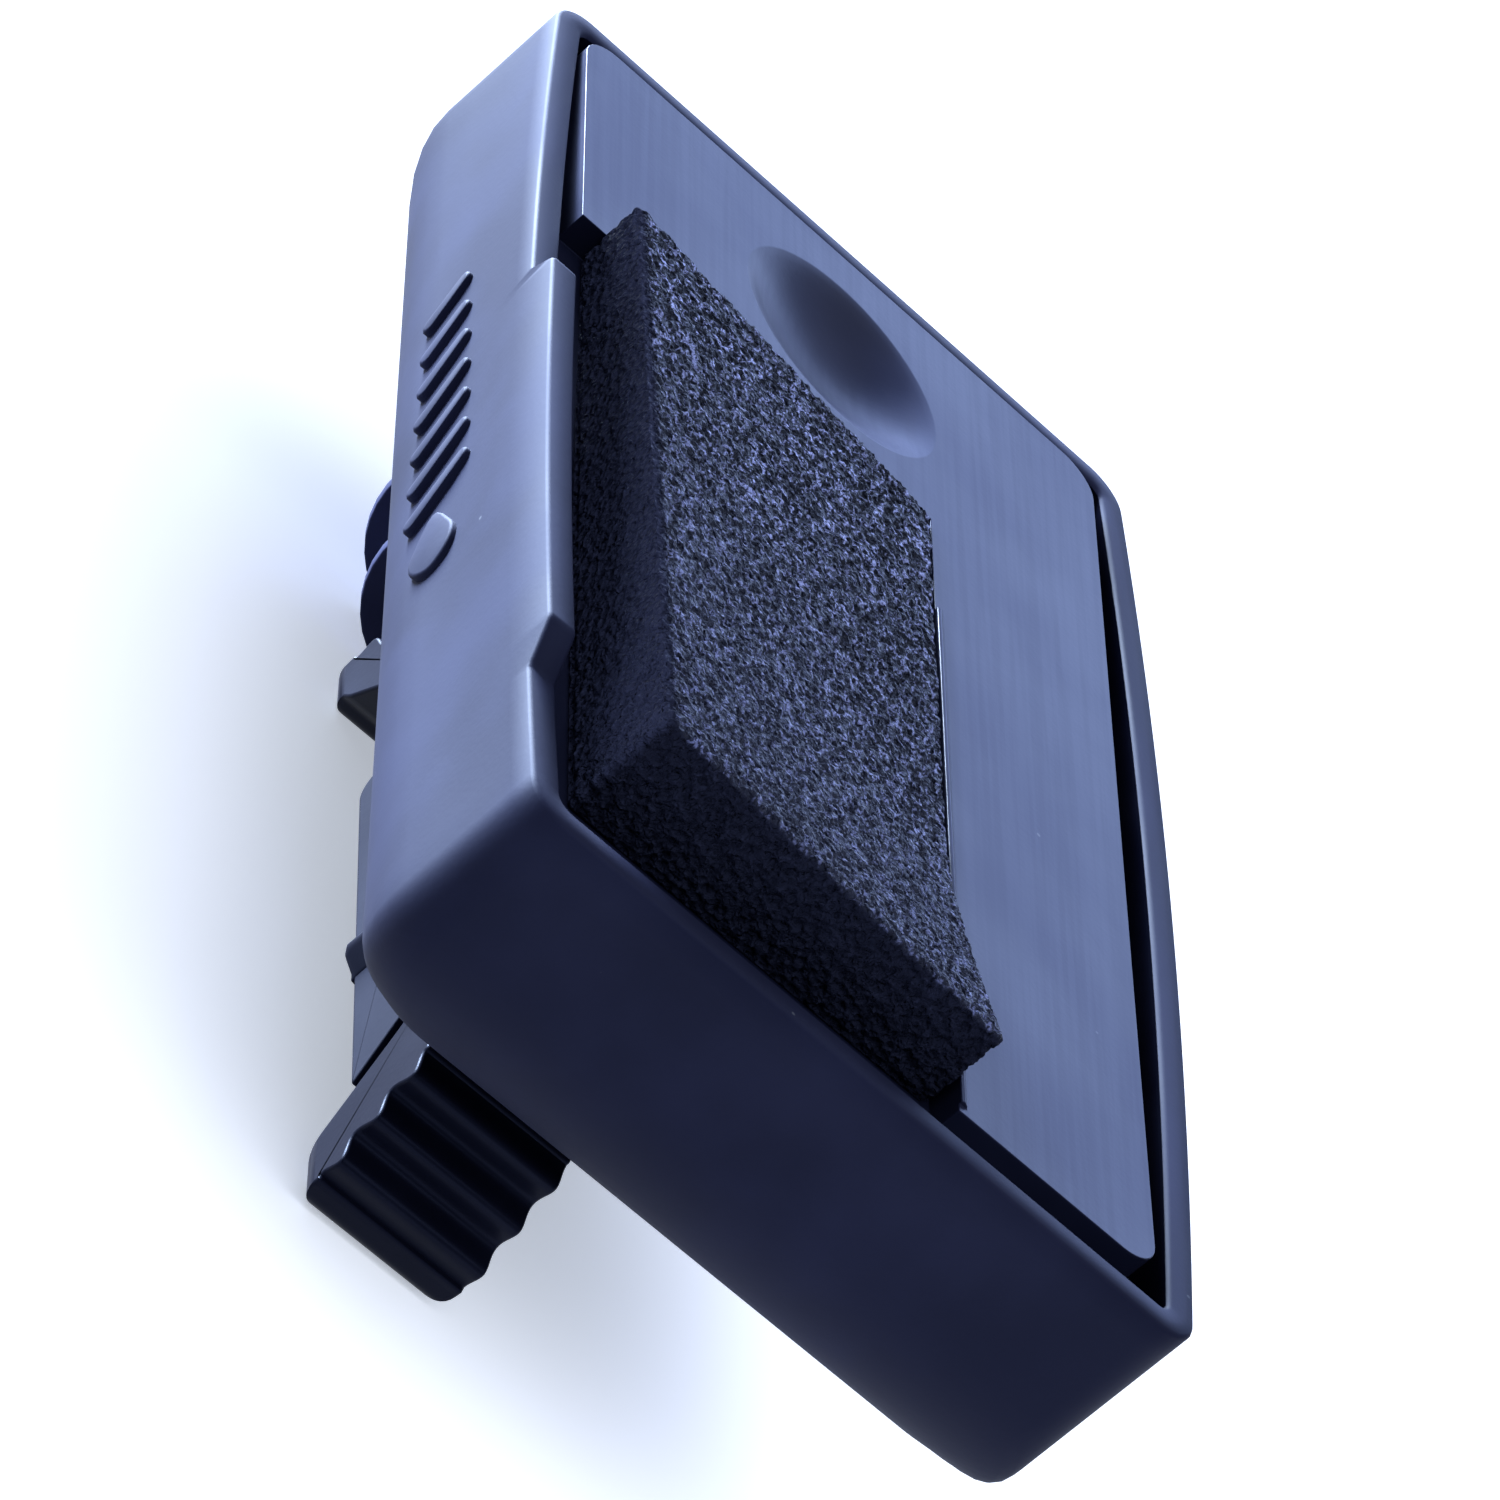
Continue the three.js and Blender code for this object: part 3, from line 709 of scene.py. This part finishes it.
def hook_leg(x, y):
    """Leg that passes through the tray's floor, with a catch on its outer side."""
    side = 1 if x > 0 else -1
    tip, catch = UNDERSIDE - 0.75, UNDERSIDE - 0.1
    root, half, hook, half_breadth = CARRIER_UNDER + 0.3, 0.4, 0.9, 1.2
    outline = [(-half, root), (-half, tip), (half, tip), (hook, catch - 0.15), (hook, catch),
               (half, catch), (half, root)]
    leg = prism("leg", [(x + side * u, v) for u, v in outline], "y", y - half_breadth, y + half_breadth)
    return soften(leg, 0.07, 2)


finish_piece(make_carrier(), PLATE, "carrier", "carrier_plastic", "pad_carrier")


# Foam pad. Without a seed, noise_vector takes its offsets from the clock and each run gives other pores.

noise.seed_set(1)
FOAM_X = (-10.1, 2.85)
FOAM_Y = (-19.3, 9.45)
FOAM_BASE = POCKET_FLOOR + 0.05


def foam_top(u, v):
    """Height of the foam's top; u runs left to right and v near to far, both from 0 to 1."""
    left = 2.9 + (1.55 - 2.9) * v
    right = 0.3 + 1.75 * max(0.0, 1 - v / 0.42) ** 1.5
    return RIM + left * (1 - u) + right * u


def pore(p):
    """Height of the open-cell surface at a point: about 0.5 on struts and -0.5 at the bottoms of pores."""
    bent = p + 0.1 * noise.noise_vector(p * 4.0)
    return min(1.0, 1.6 * noise.voronoi(bent * 3.9)[0][0]) - 0.5 + 0.3 * noise.noise(p * 9.0)


def make_foam():
    """Block on a fine lattice, its faces roughened by pores. It stays inside the pocket's walls."""
    nx, ny, nz = 216, 480, 44
    size = Vector((FOAM_X[1] - FOAM_X[0], FOAM_Y[1] - FOAM_Y[0], 3.0))
    edge = 0.22
    index, verts, faces, top_light_share, left_light_share = {}, [], [], [], []

    def vertex(i, j, k):
        key = (i, j, k)
        if key in index:
            return index[key]
        p = Vector((size.x * i / nx, size.y * j / ny, size.z * k / nz))
        core = Vector((min(max(p.x, edge), size.x - edge), min(max(p.y, edge), size.y - edge),
                       min(max(p.z, 0.02), size.z - edge)))
        out = p - core
        if out.length > 1e-9:
            out.normalize()
            reach = edge if p.z > edge else max(edge * 0.6, 0.02)
            p = core + out * reach
        u, v = p.x / size.x, p.y / size.y
        top = foam_top(min(max(u, 0), 1), min(max(v, 0), 1))
        z = FOAM_BASE + (top - FOAM_BASE) * p.z / size.z
        bulge = 0.10 * math.sin(math.pi * v) if i == 0 else 0.0
        q = Vector((FOAM_X[0] + p.x - bulge, FOAM_Y[0] + p.y, z))
        depth = 0.17 * pore(q) - 0.05
        sway = 0.05 * noise.noise(q * 0.6)
        if k > 0:
            q += out * (depth + sway)
        q.x = min(max(q.x, FOAM_X[0] - 0.05), POCKET_RIGHT - 0.04)
        q.y = min(max(q.y, FOAM_Y[0] - 0.1), POCKET_FAR - 0.04)
        q.z = max(q.z, FOAM_BASE)
        index[key] = len(verts)
        verts.append(tuple(q))
        # Painted light: the top share marks the top for its painted glints; it fades out near the left edge,
        # a painted shade there.
        from_left = min(1.0, max(0.0, (p.x - 0.05) / 0.5))
        top_light_share.append(max(0.0, out.z) * from_left if k > nz - 6 else 0.0)
        # Painted light: the left share marks the left side, which is painted lighter.
        left_light_share.append(max(0.0, -out.x))
        return index[key]

    def face(start, first, second):
        """Lattice cell that starts at a point and spans two of the directions."""
        steps = ((0, 0, 0), first, tuple(a + b for a, b in zip(first, second)), second)
        faces.append(tuple(vertex(*(c + d for c, d in zip(start, step))) for step in steps))

    right, far, up = (1, 0, 0), (0, 1, 0), (0, 0, 1)
    for i in range(nx):
        for j in range(ny):
            face((i, j, nz), right, far)
    for k in range(nz):
        for i in range(nx):
            for j in (0, ny):
                face((i, j, k), right, up)
        for j in range(ny):
            for i in (0, nx):
                face((i, j, k), far, up)
    bottom = [vertex(i, 0, 0) for i in range(nx)] + [vertex(nx, j, 0) for j in range(ny)]
    bottom += [vertex(i, ny, 0) for i in range(nx, 0, -1)] + [vertex(0, j, 0) for j in range(ny, 0, -1)]
    faces.append(tuple(bottom))
    block = add_object("foam", verts, faces, 70.0)
    block.data.attributes.new("top", "FLOAT", "POINT").data.foreach_set("value", top_light_share)
    block.data.attributes.new("left", "FLOAT", "POINT").data.foreach_set("value", left_light_share)
    return block


foam = finish_piece(make_foam(), FOAM, "carrier", "foam", "foam_pad")


# Pieces that keep the CAD's outline and get rounded edges

def refined(node, name, width):
    """A copy of a CAD node's mesh with its flats merged and its edges rounded."""
    mesh = NODES[node].data.copy()
    mesh.name = name
    obj = bpy.data.objects.new(name, mesh)
    bpy.context.scene.collection.objects.link(obj)
    bm = bmesh.new()
    bm.from_mesh(mesh)
    bmesh.ops.remove_doubles(bm, verts=bm.verts, dist=2e-6)
    bmesh.ops.dissolve_limit(bm, angle_limit=math.radians(1.5), verts=bm.verts, edges=bm.edges)
    bm.to_mesh(mesh)
    bm.free()
    return soften(obj, width)


for node, look, width in (("latch_base", LATCH_PAINTED_SHADE, 0.09), ("locating_spool", SPOOL_PAINTED_LIGHT, 0.06)):
    finish_piece(refined(node, node + "_moulded", width), look, "tray", "black_plastic", node)

for node in ("near_hinge_pin", "far_hinge_pin", "base_screw_1", "base_screw_2"):
    finish_piece(refined(node, node + "_turned", 0.07), STEEL, "tray", "steel", node)

finish_piece(refined("ink_felt", "felt_slip", 0.15), FELT, "carrier", "felt", "ink_felt")


# Levers: a wedge on its pin, with three soft ribs on its outer face

CHEEK_LEFT_FACES = (-5.4, -2.7)


def shrunk(points, distance):
    """Moves a closed outline inwards by a distance."""
    n = len(points)
    area = sum(points[i - 1][0] * points[i][1] - points[i][0] * points[i - 1][1] for i in range(n))
    turn = 1 if area > 0 else -1
    moved = []
    for i in range(n):
        a = (Vector(points[i]) - Vector(points[i - 1])).normalized()
        b = (Vector(points[(i + 1) % n]) - Vector(points[i])).normalized()
        normal = Vector((-a.y - b.y, a.x + b.x)).normalized() * turn
        mitre = 1 / max(0.45, normal.dot(Vector((-a.y, a.x)) * turn))
        moved.append(tuple(Vector(points[i]) + normal * distance * mitre))
    return moved


def rounded_bar(name, outline, low, high, radius):
    """Extrusion along X whose ends are rounded over; the outline is in (y, z)."""
    steps = 3
    rings = []
    for end, side in ((low, 1), (high, -1)):
        half = []
        for k in range(steps + 1):
            a = math.radians(90 * k / steps)
            x = end + side * radius * (1 - math.cos(a))
            half.append([(x, y, z) for y, z in shrunk(outline, radius * (1 - math.sin(a)))])
        rings += half if side > 0 else half[::-1]
    return add_object(name, *loft(rings), 40.0)


def lever_outline(pivot, tip, lift):
    """Ribbed front, round foot and straight back of a lever, in (y, z). Lift is the foot's height."""
    top, crown = 5.2, 1.45
    root = Vector((pivot - crown, top - 0.1))
    end = Vector((tip, 1.1))
    along = end - root
    outward_side = Vector((along.y, -along.x)).normalized()
    ribs, steps = 3, 48
    face = []
    for i in range(1, steps):
        t = i / steps
        swell = 0.25 * (1 - math.cos(2 * math.pi * ribs * t))
        face.append(tuple(root + along * t + outward_side * swell))
    foot = [(tip - 0.12, 1.1), (tip - 0.1, 0.96), (tip + 0.05, lift), (tip + 1.3, lift), (tip + 1.6, 0.65),
            (tip + 1.98, 0.97), (pivot + 0.72, 4.0), (pivot + crown, top - 0.3), (pivot + crown, top),
            (pivot - crown, top)]
    radii = [0.06, 0.06, 0.5, 0.4, 0.12, 0.2, 0.5, 0.2, 0.15, 0.12]
    return face + rounded_polygon(foot, radii)


def make_lever(label, pivot, mirror):
    """A lever with room for its hinge. The near one's foot stops short of the table, as in the photograph."""
    if mirror:
        outline = lever_outline(NEAR_PIVOT_Y, LEVER_TIP_Y, 0.0)
        outline = [(2 * LATCH_CENTRE_Y - y, z) for y, z in outline]
    else:
        outline = lever_outline(NEAR_PIVOT_Y, LEVER_TIP_Y + 0.15, 0.18)
    lever = rounded_bar(label + "_lever_wedge", outline, LATCH_LEFT, LATCH_RIGHT, 0.1)
    front, back, coil_reach, above = 1.2, 2.5, 1.05, 6.3
    inner = sorted((pivot + (front if mirror else -front), pivot + (-back if mirror else back)))
    cheeks = [box("cheek", (x - 0.12, x + 0.82), inner, (3.7, above)) for x in CHEEK_LEFT_FACES]
    coil_room = box("coil_room", (-4.45, -2.95), (pivot - coil_reach, pivot + coil_reach),
                    (PIVOT_Z - coil_reach, above))
    cut(lever, cheeks + [coil_room])
    cut(lever, [round_footed_block(min(z for y, z in outline), pivot)], "INTERSECT")
    return even_shading(lever, 40.0, flat_ends=True)


def round_footed_block(foot, y):
    """Room for one lever, just wider than it, with round lower corners."""
    left, right, top, reach = LATCH_LEFT - 0.01, LATCH_RIGHT + 0.01, 7.0, 6.0
    corners = [(left, foot - 0.01), (right, foot - 0.01), (right, top), (left, top)]
    return prism("room", rounded_polygon(corners, [0.95, 0.95, 0.0, 0.0], 9), "y", y - reach, y + reach)


def make_clip_plate(side):
    """Thin plate beside the levers, its near end close along the near lever, with a rounded barb outside."""
    low, high, thick = 1.7, 5.25, 0.8
    far_end, near_top, near_foot = -0.1, -13.0, -15.35
    outline = rounded_polygon(
        [(near_top, high), (near_foot, low + 0.45), (far_end - 0.5, low), (far_end, low + 0.5),
         (far_end, high)],
        [0.1, 0.2, 0.4, 0.4, 0.1])
    face, back = (LATCH_LEFT, LATCH_LEFT + thick) if side < 0 else (LATCH_RIGHT, LATCH_RIGHT - thick)
    plate = rounded_bar("plate", outline, min(face, back), max(face, back), 0.08)
    rings = []
    bump = rounded_polygon([(-8.7, -0.2), (-8.8, 0.0), (-9.2, 0.6), (-10.15, 0.0), (-10.2, -0.2)],
                           [0.05, 0.15, 0.35, 0.3, 0.05])
    levels = ((1.9, 0.0), (1.98, 0.7), (2.2, 1.0), (4.3, 1.0), (4.65, 0.8), (4.8, 0.0))
    for z, size in levels:
        rings.append([(face + side * (out * size if out > 0 else out), y, z) for y, out in bump])
    barb = add_object("barb", *loft(rings), 50.0)
    return even_shading(join("clip_plate", [plate, barb]), 40.0, flat_ends=True)


for side, label in ((-1, "left"), (1, "right")):
    clip = make_clip_plate(side)
    clip.name = f"clip_{label}_moulded"
    finish_piece(clip, LATCH_PAINTED_SHADE, f"{label}_clip", "black_plastic", f"clip_plate_{label}")

finish_piece(make_lever("near", NEAR_PIVOT_Y, False), LEVER_PAINTED_SHADE, "near_lever", "black_plastic", "near_lever")
finish_piece(make_lever("far", FAR_PIVOT_Y, True), LEVER_PAINTED_SHADE, "far_lever", "black_plastic", "far_lever")


# Springs

def coil_points(radius, wire, turns, length, dead_turns=0.9):
    """Helix along Z from 0 to length, its end turns wound close."""
    per_turn = 28
    rise = length - wire
    span = turns - 2 * dead_turns
    flat = wire * 1.02
    points = []
    for i in range(turns * per_turn + 1):
        turn = i / per_turn
        if turn < dead_turns:
            z = flat * turn
        elif turn > turns - dead_turns:
            z = rise - flat * (turns - turn)
        else:
            t = (turn - dead_turns) / span
            z = flat * dead_turns + (rise - 2 * flat * dead_turns) * t
        a = 2 * math.pi * turn
        points.append((radius * math.cos(a), radius * math.sin(a), z + wire / 2))
    return points


SPRING_GAP = 0.06
SPRING_SEAT = FLOOR_TOP + SPRING_GAP
SPRING_LENGTH = CARRIER_UNDER - FLOOR_TOP - 2 * SPRING_GAP
SPRING_RADIUS, SPRING_WIRE = 1.35, 0.4
for i, (x, y) in enumerate(SPRING_SPOTS, 1):
    helix = coil_points(SPRING_RADIUS, SPRING_WIRE, 6, SPRING_LENGTH)
    wire = tube(f"spring_{i}", [(x + px, y + py, SPRING_SEAT + pz) for px, py, pz in helix], SPRING_WIRE / 2)
    spring = finish_piece(wire, STEEL, "tray", "steel", f"carrier_spring_{i}")
    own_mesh(spring)

COIL_LEFT, COIL_LENGTH, COIL_RADIUS, COIL_WIRE = -4.25, 1.1, 0.7, 0.22
for label, y in (("near", NEAR_PIVOT_Y), ("far", FAR_PIVOT_Y)):
    helix = coil_points(COIL_RADIUS, COIL_WIRE, 4, COIL_LENGTH, 0.3)
    path = [(COIL_LEFT + pz, y + px, PIVOT_Z + py) for px, py, pz in helix]
    wire = tube(f"{label}_torsion_coil", path, COIL_WIRE / 2)
    finish_piece(wire, STEEL, "tray", "steel", f"{label}_lever_spring")


# Floor and light, in metres and watts

def add_floor():
    half = 3.0
    mesh = bpy.data.meshes.new("floor")
    corners = [(-half, -half, 0), (half, -half, 0), (half, half, 0), (-half, half, 0)]
    mesh.from_pydata(corners, [], [(0, 1, 2, 3)])
    floor = bpy.data.objects.new("floor", mesh)
    bpy.context.scene.collection.objects.link(floor)
    n = Nodes("pale_floor")
    tone = n.noise(3.0, 2.0)
    mesh.materials.append(n.set(
        Base_Color=n.mix(tone, (0.90, 0.90, 0.91), (0.94, 0.94, 0.945)), Roughness=0.9,
        Specular_IOR_Level=0.1, Emission_Color=(0.84, 0.90, 1.0), Emission_Strength=0.5))
    return floor


def add_light(name, place, size, power, colour):
    """Rectangular softbox that faces the middle of the part."""
    data = bpy.data.lights.new(name, "AREA")
    data.shape = "RECTANGLE"
    data.size, data.size_y = size
    data.energy = power
    data.color = colour
    light = bpy.data.objects.new(name, data)
    aim = Vector((0, 0, 0.01)) - Vector(place)
    light.matrix_world = Matrix.Translation(Vector(place)) @ aim.to_track_quat("-Z", "Y").to_matrix().to_4x4()
    bpy.context.scene.collection.objects.link(light)
    return light


def keep_off(light, *objects):
    """Keeps a light from lighting some objects."""
    flag = bpy.data.collections.new("flagged")
    for obj in objects:
        flag.objects.link(obj)
    for entry in flag.collection_objects:
        entry.light_linking.link_state = "EXCLUDE"
    light.light_linking.receiver_collection = flag


def add_world():
    world = bpy.data.worlds.new("studio")
    world.use_nodes = True
    background = world.node_tree.nodes["Background"]
    background.inputs["Color"].default_value = (0.72, 0.82, 1.0, 1.0)
    background.inputs["Strength"].default_value = 0.22
    bpy.context.scene.world = world


floor = add_floor()
BLUISH = (0.42, 0.56, 1.0)
add_light("far_softbox", (0.27, 0.62, 0.30), (0.55, 0.45), 4.3, BLUISH)
add_light("overhead_softbox", (0.1, -0.2, 0.95), (1.8, 1.8), 20.0, (0.84, 0.89, 1.0))
left = add_light("left_softbox", (-0.40, 0.62, 0.10), (0.60, 0.18), 92.0, (0.66, 0.80, 1.0))
keep_off(left, floor, foam)
add_world()
bpy.context.scene.view_settings.view_transform = "Standard"
